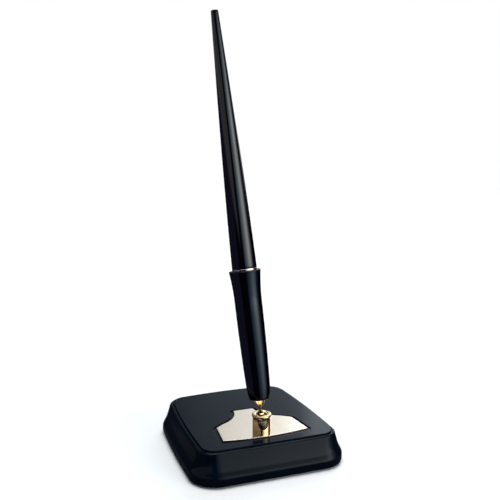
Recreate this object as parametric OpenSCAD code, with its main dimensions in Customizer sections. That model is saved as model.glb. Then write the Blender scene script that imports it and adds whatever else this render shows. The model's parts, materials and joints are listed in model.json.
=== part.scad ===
// Desk pen holder: a weighted base with a swivelling trumpet socket and a
// tapered desk pen. Millimetres, +Z up, origin at the middle of the underside.

/* [Base] */
// Half of the top's width along its front edge
top_front_half = 35; // [33:0.5:37]
// Half of the top's width along its back edge
top_back_half = 32.5; // [31:0.5:35]
// Half of the top's depth between the front and back corners
top_half_depth = 37.4; // [36:0.2:40]
// How far each side bows outwards at its middle
side_bow = 1.5; // [0.5:0.1:2.5]
// How far the back edge bows outwards at its middle
back_bow = 2.1; // [0.5:0.1:3]
// Corner radius of the top
top_corner = 6.2; // [5:0.1:8]
// Height of the top above the table
top_z = 17.4; // [17:0.1:18.5]
// How far the foot of the base stands out beyond the top
foot_spread = 6.2; // [5.6:0.1:7]
// Depth of the recess around the name plate
recess_depth = 0.5; // [0.3:0.1:0.8]

/* [Name plate] */
// Half of the plate's width at its front corners
plate_front_half = 23.1; // [22:0.1:24]
// Half of the plate's width at its shoulders
plate_shoulder_half = 21.3; // [20.5:0.1:22]
// Thickness of the plate
plate_t = 0.8; // [0.6:0.1:1]
// Gap between the plate and the edge of its recess
plate_gap = 2; // [1:0.1:2.4]

/* [Swivel post] */
// Distance of the post in front of the middle of the top
post_forward = 22.5; // [21:0.5:24]
// Radius of the post
post_r = 4.75; // [4.6:0.05:4.8]
// Radius of the collar that holds the ball
collar_r = 5.08; // [5:0.02:5.2]
// Height of the collar's top above the table
post_top = 26.7; // [26.4:0.1:27.2]
// Radius of the swivel ball
ball_r = 3.5; // [3.4:0.05:3.55]
// Lean of the socket from upright, in degrees
lean = 9.05; // [0:0.5:20]
// Compass angle of the lean, in degrees from +X
lean_heading = 116.4; // [90:1:140]

/* [Socket] */
// Distance from the ball's centre to the foot of the socket
socket_start = 9.5; // [9.2:0.1:10]
// Distance from the ball's centre to the socket's lip
socket_lip = 76.5; // [75:0.5:78]
// Outer radius of the lip
lip_r = 8.2; // [8:0.05:8.5]
// Outer radius at the waist below the lip
waist_r = 7.05; // [7:0.05:7.3]
// Outer radius where the foot starts to round off
foot_r = 6.27; // [6.2:0.05:6.4]

/* [Pen] */
// Length of the pen above the lip
pen_show = 132; // [125:1:140]
// Radius of the barrel at its root
barrel_root_r = 6.38; // [6.2:0.02:6.5]
// Radius of the barrel's flat tail
barrel_tail_r = 1.93; // [1.8:0.02:2.2]
// Outer radius of the trim ring
ring_r = 6.45; // [6.4:0.02:6.6]
// Height of the trim ring
ring_h = 0.9; // [0.8:0.1:1.2]
// Thread pitch between the barrel and the grip section
thread_pitch = 0.8; // [0.6:0.1:1]

/* [Hidden] */
$fn = 64;

shift_y = (0.12 - back_bow) / 2;  // centres the footprint on the origin
post_y = -post_forward + shift_y;
ball_z = post_top - 1.98;         // the ball's centre
run = 0.05;                       // running clearance
recess_z = top_z - recess_depth;
glue_t = 0.15;
plate_z = recess_z + glue_t;
plate_top = plate_z + plate_t;
roof_z = 14.4;                    // underside of the base's top wall
cover_z = 0.8;
cover_t = 1.5;
screw_xy = [[-27, -20], [27, -20], [-25, 22], [25, 22]];
foot_xy = [[-29.5, -32], [29.5, -32], [-28, 32], [28, 32]];
tie_xy = [[-17, 8], [17, 8]];

// ---------- outline of the base ----------
// Rounded four-sided outline whose sides bow; "out" moves it outwards.
function corner_r(out) = top_corner + 1.28 * out;
function corners(out) =
    [[-top_front_half - out, -top_half_depth - out],
     [ top_front_half + out, -top_half_depth - out],
     [ top_back_half + out,   top_half_depth + out],
     [-top_back_half - out,   top_half_depth + out]];
side_out = [[0, -1], [1, 0], [0, 1], [-1, 0]];
side_sag = [0.12, side_bow, back_bow, side_bow];
n_side = 10;
n_turn = 8;
function side_pt(c, i, out, t) =
    c[i] * (1 - t) + c[(i + 1) % 4] * t + 4 * t * (1 - t) * side_sag[i] * side_out[i];
function side_t0(c, i, out) = corner_r(out) / norm(c[(i + 1) % 4] - c[i]);
function side_slope(c, i, t) = c[(i + 1) % 4] - c[i] + 4 * (1 - 2 * t) * side_sag[i] * side_out[i];
function meet(p, d, q, e) = p + d * cross(q - p, e) / cross(d, e);
function bez(p, b, c, q, t) =
    pow(1 - t, 3) * p + 3 * pow(1 - t, 2) * t * b + 3 * (1 - t) * t * t * c + pow(t, 3) * q;
function outline(out) = let (c = corners(out)) [
    for (i = [0:3])
        let (t0 = side_t0(c, i, out), j = (i + 1) % 4, t1 = side_t0(c, j, out),
             p = side_pt(c, i, out, 1 - t0), q = side_pt(c, j, out, t1),
             m = meet(p, side_slope(c, i, 1 - t0), q, side_slope(c, j, t1)))
        each concat(
            [for (k = [0:n_side]) side_pt(c, i, out, t0 + (1 - 2 * t0) * k / n_side)],
            [for (k = [1:n_turn - 1])
                bez(p, p + (m - p) * 0.55, q + (m - q) * 0.55, q, k / n_turn)])];
ring_n = 4 * (n_side + n_turn);

// Profile of the outside: [how far out, height], from the top downwards.
skin = [[-0.35, top_z], [-0.1, top_z - 0.06], [0, top_z - 0.2], [0.02, top_z - 1.05],
        [0.4, top_z - 1.1], [0.6, top_z - 0.85], [1.3, top_z - 0.9], [1.75, top_z - 1.15],
        [2.0, top_z - 1.6], [2.3, top_z - 2.6], [2.95, 12.6], [3.75, 10.1], [4.65, 8],
        [5.35, 6.7], [foot_spread - 0.27, 5.6], [foot_spread - 0.06, 4.9], [foot_spread, 4.3],
        [foot_spread, 2.2], [foot_spread - 0.3, 1.3], [foot_spread - 1, cover_z]];

module skin_solid() {
    rings = [for (s = skin) [for (p = outline(s[0])) [p[0], p[1] + shift_y, s[1]]]];
    n = ring_n;
    m = len(skin);
    points = [for (r = rings) each r];
    sides = [for (j = [0:m - 2], i = [0:n - 1], h = [0, 1])
        let (a = j * n + i, b = j * n + (i + 1) % n)
        h == 0 ? [a, b, b + n] : [a, b + n, a + n]];
    lid = [for (i = [0:n - 1]) n - 1 - i];
    floor = [for (i = [0:n - 1]) (m - 1) * n + i];
    polyhedron(points = points, faces = concat([lid], sides, [floor]), convexity = 4);
}

module slab(out, z0, z1) {
    translate([0, shift_y, z0]) linear_extrude(z1 - z0) polygon(outline(out));
}

// ---------- outline of the name plate ----------
arc_c = [23.4, 7.6];
arc_r = 17.8;
function plate_half(side) = [for (k = [0:12]) let (a = 247 - 63 * k / 12)
    [side * (arc_c[0] + arc_r * cos(a)), arc_c[1] + arc_r * sin(a)]];
function rev(v) = [for (i = [len(v) - 1:-1:0]) v[i]];
module plate_outline() {
    front = [for (k = [0:12]) let (t = -1 + k / 6)
        [t * plate_front_half, -28.7 - 2.3 * (1 - t * t)]];
    translate([0, shift_y]) polygon(concat(front,
        [[plate_shoulder_half, -12.4]], plate_half(1),
        rev(plate_half(-1)), [[-plate_shoulder_half, -12.4]]));
}

// ---------- helpers ----------
module at_post() { translate([0, post_y, 0]) children(); }
module on_axis() { translate([0, post_y, ball_z]) rotate([0, lean, lean_heading]) children(); }
module turned(pts, n = 64) { rotate_extrude($fn = n) polygon(pts); }
module tube(r_out, r_in, z0, z1) {
    translate([0, 0, z0]) difference() {
        cylinder(r = r_out, h = z1 - z0);
        translate([0, 0, -1]) cylinder(r = r_in, h = z1 - z0 + 2);
    }
}
module rod(r, z0, z1) { translate([0, 0, z0]) cylinder(r = r, h = z1 - z0); }
module hex_nut(flats, bore, z0, z1) {
    difference() {
        translate([0, 0, z0]) cylinder(r = flats / sqrt(3), h = z1 - z0, $fn = 6);
        translate([0, 0, z0 - 1]) cylinder(r = bore, h = z1 - z0 + 2, $fn = 64);
    }
}

// ---------- base ----------
module base_shell() {
    color([0.09, 0.10, 0.12]) difference() {
        union() {
            difference() {
                skin_solid();
                slab(-1, -1, roof_z);
                slab(1.2, -1, 8);
                slab(3.9, -1, cover_z + cover_t + 0.1);
            }
            for (p = screw_xy) translate([p[0], p[1], 0]) rod(3, cover_z + cover_t + 0.1, roof_z + 0.5);
            for (p = tie_xy) translate([p[0], p[1], 0]) rod(3.2, 11.1, roof_z + 0.5);
        }
        translate([0, 0, recess_z]) linear_extrude(3) offset(r = plate_gap, $fn = 24) plate_outline();
        at_post() rod(3.1, roof_z - 1, top_z + 1);
        for (p = screw_xy) translate([p[0], p[1], 0]) rod(1.12, 0, 11);
        for (p = tie_xy) translate([p[0], p[1], 0]) rod(1.12, 10, 14.6);
    }
}

module name_plate() {
    color([0.91, 0.87, 0.80]) difference() {
        translate([0, 0, plate_z]) linear_extrude(plate_t) plate_outline();
        at_post() rod(3.06, plate_z - 1, plate_top + 1);
    }
}

module plate_adhesive() {
    color([0.75, 0.72, 0.62]) difference() {
        translate([0, 0, recess_z]) linear_extrude(glue_t)
            intersection() {
                plate_outline();
                translate([-20.5, -28.6 + shift_y]) square([41, 33]);
            }
        at_post() rod(4, recess_z - 1, plate_z + 1);
    }
}

module ballast_weight() {
    color([0.30, 0.30, 0.31]) difference() {
        slab(-2.2, 3.4, 11);
        at_post() rod(8.5, 0, 20);
        for (p = screw_xy) translate([p[0], p[1], 0]) rod(3.6, 0, 20);
        for (p = tie_xy) translate([p[0], p[1], 0]) {
            rod(1.35, 0, 20);
            rod(2.7, 0, 5.2);
        }
    }
}

// Pan-headed screw pointing up, its head's top face at z = 0.
module screw(head_r, head_h, r, length) {
    difference() {
        union() {
            rod(head_r, 0, head_h);
            rod(r, head_h - 0.01, length);
        }
        for (a = [0, 90]) rotate([0, 0, a])
            translate([-head_r * 0.62, -0.3, -1]) cube([head_r * 1.24, 0.6, 1 + head_h * 0.6]);
    }
}

module ballast_screws() {
    color([0.70, 0.70, 0.72])
        for (p = tie_xy) translate([p[0], p[1], 3.7]) screw(2.4, 1.5, 1.1, 10.6);
}

module bottom_cover() {
    color([0.14, 0.14, 0.14]) difference() {
        slab(3.75, cover_z, cover_z + cover_t);
        for (p = foot_xy) translate([p[0], p[1], 0]) rod(5, 0, cover_z + 0.4);
        for (p = screw_xy) translate([p[0], p[1], 0]) {
            rod(1.35, 0, 5);
            rod(2.5, 0, cover_z + 0.9);
        }
    }
}

module cover_screws() {
    color([0.70, 0.70, 0.72])
        for (p = screw_xy) translate([p[0], p[1], cover_z + 0.05]) screw(2.3, 0.85, 1.1, 9);
}

module rubber_feet() {
    color([0.10, 0.10, 0.10])
        for (p = foot_xy) translate([p[0], p[1], 0])
            turned([[0, 0], [4.4, 0], [4.8, 0.4], [4.8, cover_z + 0.4], [0, cover_z + 0.4]]);
}

// ---------- swivel ----------
module swivel_post() {
    color([0.83, 0.68, 0.40]) at_post() difference() {
        turned([[0, 8.6], [2.7, 8.6], [3, 8.9], [3, plate_top], [post_r - 0.15, plate_top],
                [post_r, plate_top + 0.15], [post_r, post_top - 3.2], [4.08, post_top - 3.2],
                [4.08, post_top - 1.95], [0, post_top - 1.95]]);
        rod(ball_r + 2 * run, ball_z - 5.7, ball_z + 5);
    }
}

module retaining_collar() {
    color([0.86, 0.72, 0.45]) at_post() difference() {
        turned([[0, post_top - 3.15], [post_r, post_top - 3.15], [post_r + 0.03, post_top - 2],
                [collar_r - 0.1, post_top - 1.35], [collar_r, post_top - 0.9],
                [collar_r - 0.06, post_top - 0.5], [collar_r - 0.25, post_top - 0.2],
                [collar_r - 0.6, post_top], [0, post_top]]);
        rod(4.12, post_top - 4, post_top - 1.9);
        translate([0, 0, ball_z]) sphere(r = ball_r + run);
        translate([0, 0, post_top - 0.3]) cylinder(r1 = 2.95, r2 = 3.4, h = 0.31);
        // two small holes for the key that sets the ball's friction
        for (a = [25, 205]) rotate([0, 0, a])
            translate([3.95, 0, post_top - 0.9]) cylinder(r = 0.42, h = 2);
    }
}

module post_washer() {
    color([0.72, 0.72, 0.74]) at_post() tube(7, 3.1, roof_z - 1.05, roof_z - 0.02);
}

module post_nut() {
    color([0.78, 0.66, 0.42]) at_post() hex_nut(10, 3.02, 9.9, roof_z - 1.08);
}

// Two disc springs, set inner edge to inner edge, that press the seat up to the ball.
module tension_spring() {
    z0 = ball_z - 5.69; dish = 0.37; t = 0.45;
    color([0.75, 0.75, 0.77]) at_post() {
        turned([[1.6, z0 + dish], [3.4, z0], [3.4, z0 + t], [1.6, z0 + dish + t]]);
        z1 = z0 + dish + t + 0.02;
        turned([[1.6, z1], [3.4, z1 + dish], [3.4, z1 + dish + t], [1.6, z1 + t]]);
    }
}

module ball_seat() {
    color([0.92, 0.92, 0.90]) at_post() difference() {
        rod(ball_r + run, ball_z - 4, ball_z - 0.3);
        translate([0, 0, ball_z]) sphere(r = ball_r + run);
    }
}

// Neck of the stem: slim above the ball, flaring to a flange under the socket.
stem_end = socket_start - 0.03;
function horn_r(s) = 1.05 + 2.51 * pow(max(0, (s - 3.2) / (stem_end - 3.2)), 1.75);
module ball_stem() {
    color([0.86, 0.72, 0.45]) on_axis() union() {
        sphere(r = ball_r);
        turned(concat([[0, 2]], [for (i = [0:12]) let (s = 2 + (stem_end - 2) * i / 12) [horn_r(s), s]],
                      [[1.9, stem_end], [1.9, socket_start + 6], [0, socket_start + 6]]));
    }
}

module friction_washer() {
    color([0.90, 0.90, 0.86]) on_axis() tube(3.9, 1.95, socket_start + 2.55, socket_start + 3.05);
}

module stem_nut() {
    color([0.78, 0.66, 0.42]) on_axis() hex_nut(6.4, 1.93, socket_start + 3.1, socket_start + 5.4);
}

// ---------- socket ----------
function socket_r(s) = s > 62
    ? waist_r + (lip_r - waist_r) * pow((s - 62) / (socket_lip - 62), 1.7)
    : waist_r - (waist_r - foot_r) * pow((62 - s) / 43.6, 2)
      - (s < 18.4 ? 0.8 * pow((18.4 - s) / 8.7, 2.2) : 0);
module pen_socket() {
    s0 = socket_start; s1 = socket_lip;
    color([0.05, 0.05, 0.06]) on_axis() difference() {
        turned(concat([[0, s0], [socket_r(s0) - 0.3, s0]],
            [for (i = [0:30]) let (s = s0 + 0.25 + (s1 - 0.4 - s0) * i / 30) [socket_r(s), s]],
            [[lip_r - 0.1, s1], [0, s1]]));
        rod(2, s0 - 1, s0 + 4);
        turned([[0, s0 + 2.5], [4.3, s0 + 2.5], [4.3, s0 + 6.5], [5.1, s0 + 7.4], [5.33, 24],
                [5.93, s1 - 2.3], [6.9, s1 - 2.3], [6.9, s1 + 1], [0, s1 + 1]]);
    }
}

module socket_liner() {
    s1 = socket_lip;
    color([0.85, 0.85, 0.83]) on_axis() difference() {
        turned([[0, socket_start + 7.6], [5.06, socket_start + 7.6], [5.29, 24], [5.87, s1 - 3.2],
                [5.87, s1 - 2.26], [6.86, s1 - 2.26], [6.86, s1 - 2.05], [0, s1 - 2.05]]);
        turned([[0, socket_start + 8.6], [4.3, socket_start + 8.6], [4.7, 24], [5.27, s1 - 2.2],
                [5.27, s1], [0, s1]]);
    }
}

module grip_ring() {
    color([0.12, 0.12, 0.12]) on_axis() difference() {
        turned([[5.14, socket_lip - 1.9], [5.34, socket_lip - 2.03], [6.84, socket_lip - 2.03],
                [6.84, socket_lip - 1.07], [5.34, socket_lip - 1.07], [5.14, socket_lip - 1.2]]);
    }
}

module mouth_ring() {
    color([0.05, 0.05, 0.06]) on_axis()
        turned([[5.3, socket_lip - 1.03], [6.87, socket_lip - 1.03], [6.87, socket_lip - 0.06],
                [6.75, socket_lip], [5.5, socket_lip], [5.3, socket_lip - 0.2]]);
}

// ---------- pen ----------
ring_s0 = socket_lip + 0.12;   // underside of the trim ring
ring_s1 = ring_s0 + ring_h;
barrel_s0 = ring_s1 + 0.05;
tail_s = socket_lip + pen_show;
section_end = socket_lip - 40; // the nib leaves the section here
nib_tip = socket_lip - 57.3;

module grip_section() {
    e = section_end;
    color([0.05, 0.05, 0.06]) on_axis() difference() {
        turned([[0, e], [3.9, e], [4.35, e + 0.5], [4.45, e + 1.6], [4.2, e + 3], [4.35, e + 12],
                [4.75, e + 26], [5.08, e + 33], [5.08, ring_s0 - 0.03], [4.6, ring_s0 - 0.03],
                [4.6, ring_s0 + 9.5], [0, ring_s0 + 9.5]]);
        turned([[0, e - 1], [2.85, e - 1], [2.85, e + 23], [0, e + 23]]);
        difference() {
            rod(3.85, e + 25, ring_s0 + 20);
            rod(1.1, e + 24, e + 29);
        }
        rod(0.6, e + 20, e + 30);
    }
}

module feed() {
    e = section_end;
    color([0.08, 0.08, 0.08]) on_axis() difference() {
        union() {
            turned([[0, nib_tip + 2.4], [0.28, nib_tip + 2.4], [2.3, e - 0.5], [2.5, e + 1],
                    [2.5, e + 22.9], [0, e + 22.9]]);
        }
        // ink channel along the top and air fins underneath
        translate([-0.2, 2.0, nib_tip]) cube([0.4, 1, e + 24 - nib_tip]);
        for (i = [0:7]) translate([-3, -3, e - 9 + i]) cube([6, 2, 0.35]);
    }
}

module nib() {
    e = section_end;
    half_top = 2.45;
    vent = e - 7.5;
    color([0.80, 0.80, 0.78]) on_axis() intersection() {
        turned([[0.18, nib_tip], [0.42, nib_tip], [2.62, e - 0.5], [2.8, e + 1], [2.8, e + 12],
                [2.54, e + 12], [2.54, e + 1], [2.37, e - 0.5]]);
        // the outline from above, with its slit and breather hole
        rotate([90, 0, 180]) linear_extrude(4) difference() {
            polygon([[-0.25, nib_tip - 1], [0.25, nib_tip - 1], [0.3, nib_tip + 0.4],
                     [half_top, e - 5], [half_top, e + 13], [-half_top, e + 13],
                     [-half_top, e - 5], [-0.3, nib_tip + 0.4]]);
            translate([0, vent]) circle(r = 0.5);
            translate([-0.06, nib_tip - 2]) square([0.12, vent - nib_tip + 2]);
        }
    }
}

module trim_ring() {
    color([0.90, 0.76, 0.62]) on_axis() turned([[4.66, ring_s0], [ring_r - 0.12, ring_s0],
        [ring_r, ring_s0 + 0.15], [ring_r, ring_s1 - 0.15], [ring_r - 0.12, ring_s1], [4.66, ring_s1]]);
}

function barrel_r(s) = barrel_root_r - (barrel_root_r - barrel_tail_r)
    * pow(max(0, (s - barrel_s0) / (tail_s - barrel_s0)), 1.3);
module pen_barrel() {
    n = 20;
    a = barrel_s0;
    color([0.05, 0.05, 0.06]) on_axis() difference() {
        turned(concat([[0, a], [barrel_r(a) - 0.1, a]],
            [for (i = [0:n]) let (s = a + 0.12 + (tail_s - 0.3 - a) * i / n) [barrel_r(s), s]],
            [[barrel_tail_r - 0.25, tail_s], [0, tail_s]]));
        turned([[0, a - 1], [4.66, a - 1], [4.66, a + 10], [4.12, a + 10.6], [4.12, a + 52],
                [2.2, a + 82], [1.2, a + 112], [0, a + 114]]);
    }
}

module ink_cartridge() {
    c0 = section_end + 25.4;
    color([0.20, 0.30, 0.75]) on_axis() difference() {
        turned([[0, c0], [2.6, c0], [3.4, c0 + 1.4], [3.7, c0 + 2.4], [3.7, c0 + 50], [3.2, c0 + 51.5],
                [0, c0 + 51.5]]);
        rod(1.16, c0 - 1, c0 + 4.6);
        rod(3.1, c0 + 6, c0 + 50);
    }
}

base_shell();
name_plate();
plate_adhesive();
ballast_weight();
ballast_screws();
bottom_cover();
cover_screws();
rubber_feet();
swivel_post();
retaining_collar();
post_washer();
post_nut();
tension_spring();
ball_seat();
ball_stem();
friction_washer();
stem_nut();
pen_socket();
socket_liner();
grip_ring();
mouth_ring();
grip_section();
feed();
nib();
trim_ring();
pen_barrel();
ink_cartridge();
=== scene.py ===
import bpy, bmesh, json, math
from mathutils import Matrix, Vector

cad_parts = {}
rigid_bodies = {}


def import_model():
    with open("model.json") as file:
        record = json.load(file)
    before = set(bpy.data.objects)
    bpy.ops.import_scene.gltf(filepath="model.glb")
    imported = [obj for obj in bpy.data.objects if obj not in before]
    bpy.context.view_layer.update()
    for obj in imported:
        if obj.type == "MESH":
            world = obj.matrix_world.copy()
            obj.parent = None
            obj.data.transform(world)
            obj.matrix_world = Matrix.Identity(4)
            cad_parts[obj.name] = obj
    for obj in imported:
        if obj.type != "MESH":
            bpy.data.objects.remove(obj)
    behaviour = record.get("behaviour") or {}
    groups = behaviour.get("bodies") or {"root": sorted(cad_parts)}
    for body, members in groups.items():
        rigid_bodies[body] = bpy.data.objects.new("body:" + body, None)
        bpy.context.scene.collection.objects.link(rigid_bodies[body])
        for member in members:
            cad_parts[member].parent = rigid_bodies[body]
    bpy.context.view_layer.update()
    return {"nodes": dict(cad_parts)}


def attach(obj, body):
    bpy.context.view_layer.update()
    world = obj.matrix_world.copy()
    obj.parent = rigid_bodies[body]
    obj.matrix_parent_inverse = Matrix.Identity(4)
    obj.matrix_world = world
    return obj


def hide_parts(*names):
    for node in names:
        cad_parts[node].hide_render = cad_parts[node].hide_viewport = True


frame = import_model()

MM = 0.001
scene = bpy.context.scene
scene.view_settings.view_transform = "Standard"

# ------------------------------------------------------------------ sizes, mm
FRONT, BACK, DEPTH = 35.0, 32.5, 37.4
SAG = [0.12, 1.5, 2.1, 1.5]
SHIFT = (0.12 - 2.1) / 2
TOP = 17.4
RECESS = 16.9
PLATE_Z, PLATE_TOP = 17.05, 17.85
ROOF = 14.4
POST_Y = -22.5 + SHIFT
POST_TOP = 26.7
BALL_Z = POST_TOP - 1.98
LEAN, HEAD = math.radians(9.05), math.radians(116.4)
SOCK0, LIP = 9.5, 76.5
RING0, RING1 = LIP + 0.12, LIP + 1.02
BAR0, TAIL = RING1 + 0.05, LIP + 132.0
SECT = LIP - 40
NIB = LIP - 57.3
SCREWS = [(-27, -20), (27, -20), (-25, 22), (25, 22)]
FEET = [(-29.5, -32), (29.5, -32), (-28, 32), (28, 32)]
TIES = [(-17, 8), (17, 8)]

AXIS = (Matrix.Translation((0, POST_Y * MM, BALL_Z * MM))
        @ Matrix.Rotation(HEAD, 4, "Z") @ Matrix.Rotation(LEAN, 4, "Y"))
POST = Matrix.Translation((0, POST_Y * MM, 0))


# ------------------------------------------------------------------ materials
class Net:
    """A small helper round one material's node tree."""
    def __init__(self, name):
        self.m = bpy.data.materials.new(name)
        self.m.use_nodes = True
        self.t = self.m.node_tree
        self.b = self.t.nodes["Principled BSDF"]
        self.tc = self.t.nodes.new("ShaderNodeTexCoord")

    def node(self, kind, **kw):
        n = self.t.nodes.new(kind)
        for k, v in kw.items():
            setattr(n, k, v)
        return n

    def link(self, a, b):
        self.t.links.new(a, b)

    def coords(self, scale=(1, 1, 1), rot=(0, 0, 0)):
        mp = self.node("ShaderNodeMapping")
        mp.inputs["Scale"].default_value = scale
        mp.inputs["Rotation"].default_value = rot
        self.link(self.tc.outputs["Object"], mp.inputs["Vector"])
        return mp.outputs["Vector"]

    def noise(self, scale, detail=3.0, rough=0.55, vec=None, dist=0.0):
        n = self.node("ShaderNodeTexNoise")
        n.inputs["Scale"].default_value = scale
        n.inputs["Detail"].default_value = detail
        n.inputs["Roughness"].default_value = rough
        n.inputs["Distortion"].default_value = dist
        self.link(vec if vec is not None else self.tc.outputs["Object"], n.inputs["Vector"])
        return n.outputs["Fac"]

    def remap(self, fac, a, b, lo=0.0, hi=1.0, smooth=False):
        n = self.node("ShaderNodeMapRange")
        n.interpolation_type = "SMOOTHSTEP" if smooth else "LINEAR"
        for k, v in (("From Min", a), ("From Max", b), ("To Min", lo), ("To Max", hi)):
            n.inputs[k].default_value = v
        self.link(fac, n.inputs["Value"])
        return n.outputs["Result"]

    def math(self, op, a, b):
        n = self.node("ShaderNodeMath", operation=op)
        for i, v in enumerate((a, b)):
            if isinstance(v, (int, float)):
                n.inputs[i].default_value = v
            else:
                self.link(v, n.inputs[i])
        return n.outputs[0]

    def mix(self, fac, c1, c2):
        n = self.node("ShaderNodeMix", data_type="RGBA")
        self.link(fac, n.inputs[0])
        for i, c in ((6, c1), (7, c2)):
            if isinstance(c, tuple):
                n.inputs[i].default_value = (*c, 1)
            else:
                self.link(c, n.inputs[i])
        return n.outputs[2]

    def bump(self, height, distance, strength=1.0, under=None):
        n = self.node("ShaderNodeBump")
        n.inputs["Strength"].default_value = strength
        n.inputs["Distance"].default_value = distance
        self.link(height, n.inputs["Height"])
        if under is not None:
            self.link(under, n.inputs["Normal"])
        return n.outputs["Normal"]

    def edge(self, a=0.52, b=0.6):
        g = self.node("ShaderNodeNewGeometry")
        return self.remap(g.outputs["Pointiness"], a, b, 0, 1, True)


def finish_mat(net, color, rough, normal, **sockets):
    b = net.b
    net.link(color, b.inputs["Base Color"])
    net.link(rough, b.inputs["Roughness"])
    if normal is not None:
        net.link(normal, b.inputs["Normal"])
        if sockets.get("Coat Weight"):
            net.link(normal, b.inputs["Coat Normal"])
    for k, v in sockets.items():
        b.inputs[k].default_value = v
    return net.m


def plastic(name, dark, light, rough=0.08, spread=0.05, grain=1.2e-6, grain_scale=2600,
            worn=(0.03, 0.03, 0.032), wear=0.35, scratch=0.12, **sockets):
    """Moulded plastic: faint flow marks, hairline scratches, worn edges."""
    n = Net(name)
    cloud = n.noise(70, 4, 0.6)
    fine = n.noise(900, 3, 0.6)
    col = n.mix(n.remap(cloud, 0.35, 0.68, 0, 1, True), dark, light)
    e = n.math("MULTIPLY", n.edge(), n.remap(fine, 0.4, 0.62, 0, wear))
    col = n.mix(e, col, worn)
    # hairlines in two directions
    h1 = n.noise(1.0, 2, 0.5, n.coords((60, 2600, 900), (0.3, 0.1, 0.5)), 0.3)
    h2 = n.noise(1.0, 2, 0.5, n.coords((1900, 50, 700), (0.1, 0.4, -0.35)), 0.3)
    hair = n.math("MAXIMUM", n.remap(h1, 0.66, 0.74), n.remap(h2, 0.67, 0.75))
    r = n.math("ADD", n.remap(cloud, 0.3, 0.7, rough - spread / 2, rough + spread / 2),
               n.math("MULTIPLY", hair, scratch))
    r = n.math("ADD", r, n.math("MULTIPLY", e, 0.15))
    bump = n.bump(n.noise(grain_scale, 2, 0.5), grain)
    bump = n.bump(n.noise(110, 1, 0.4), 6e-6, 0.5, bump)
    return finish_mat(n, col, r, bump, **sockets)


def metal(name, c1, c2, rough=0.08, spread=0.06, lines=(1, 1, 4000), line_depth=1.0e-6,
          line_rough=0.05, tarnish=(0.45, 0.28, 0.10), tarnish_amount=0.15, **sockets):
    """Polished metal: fine tool marks, slight tarnish in patches."""
    n = Net(name)
    cloud = n.noise(160, 4, 0.6)
    patch = n.noise(420, 4, 0.65)
    marks = n.noise(1.0, 3, 0.6, n.coords(lines))
    col = n.mix(n.remap(cloud, 0.32, 0.7, 0, 1, True), c1, c2)
    col = n.mix(n.remap(patch, 0.55, 0.78, 0, tarnish_amount, True), col, tarnish)
    r = n.math("ADD", n.remap(cloud, 0.3, 0.7, rough - spread / 2, rough + spread / 2),
               n.remap(marks, 0.35, 0.7, 0, line_rough))
    bump = n.bump(marks, line_depth)
    return finish_mat(n, col, r, bump, Metallic=1.0, **sockets)


M = {}
M["pen"] = plastic("pen_black", (0.0016, 0.0014, 0.0040), (0.0024, 0.0020, 0.0056), 0.05, 0.03,
                   grain=3e-7, scratch=0.10, wear=0.2, **{"IOR": 1.5, "Coat Weight": 0.0})
M["socket"] = plastic("socket_black", (0.0014, 0.0014, 0.0042), (0.0020, 0.0020, 0.0056), 0.06,
                      0.04, grain=5e-7, scratch=0.12, wear=0.25, **{"IOR": 1.5})
M["base"] = plastic("base_satin", (0.0010, 0.0034, 0.0078), (0.0016, 0.0048, 0.0104), 0.30, 0.08,
                    grain=1.5e-6, grain_scale=3200, worn=(0.012, 0.014, 0.017), scratch=0.10,
                    **{"Specular IOR Level": 0.005, "Coat Weight": 0.24, "Coat Roughness": 0.05,
                       "Coat IOR": 1.45, "Coat Tint": (1, 1, 1, 1)})
M["cover"] = plastic("cover_black", (0.012, 0.012, 0.013), (0.020, 0.020, 0.021), 0.45, 0.15,
                     grain=1.5e-5, grain_scale=1500, **{"Specular IOR Level": 0.4})
M["feed"] = plastic("feed_black", (0.010, 0.010, 0.011), (0.018, 0.018, 0.02), 0.35, 0.15)
M["liner"] = plastic("liner_white", (0.62, 0.61, 0.58), (0.72, 0.71, 0.68), 0.35, 0.12,
                     worn=(0.8, 0.8, 0.78))
M["nylon"] = plastic("nylon_white", (0.66, 0.65, 0.61), (0.76, 0.75, 0.71), 0.38, 0.12,
                     worn=(0.82, 0.82, 0.8), **{"Subsurface Weight": 0.1})
M["ink"] = plastic("cartridge_blue", (0.012, 0.03, 0.22), (0.02, 0.05, 0.32), 0.16, 0.08,
                   worn=(0.1, 0.15, 0.4), **{"Coat Weight": 0.4, "Coat Roughness": 0.08})
M["glue"] = plastic("adhesive_pad", (0.50, 0.47, 0.38), (0.62, 0.58, 0.48), 0.7, 0.2, grain=3e-5,
                    grain_scale=900, worn=(0.6, 0.6, 0.55))

M["gold"] = metal("gold_polished", (0.88, 0.62, 0.34), (0.93, 0.70, 0.42), 0.07, 0.04,
                  tarnish=(0.50, 0.28, 0.12))
M["ring"] = metal("rose_gold", (0.93, 0.74, 0.60), (0.96, 0.82, 0.70), 0.10, 0.05,
                  tarnish=(0.6, 0.4, 0.28), tarnish_amount=0.12)
M["plate"] = metal("plate_champagne", (0.96, 0.79, 0.64), (0.98, 0.83, 0.69), 0.09, 0.04,
                   lines=(18, 5200, 5200), line_depth=4e-7, line_rough=0.05,
                   tarnish=(0.78, 0.68, 0.57), tarnish_amount=0.08, **{"Anisotropic": 0.2})
M["steel"] = metal("zinc_steel", (0.50, 0.51, 0.53), (0.62, 0.62, 0.63), 0.26, 0.12,
                   lines=(900, 900, 900), tarnish=(0.32, 0.30, 0.27), tarnish_amount=0.3)
M["nib"] = metal("nib_steel", (0.72, 0.70, 0.66), (0.80, 0.78, 0.74), 0.12, 0.06,
                 lines=(3500, 3500, 60), tarnish=(0.5, 0.46, 0.4), tarnish_amount=0.15)


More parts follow.
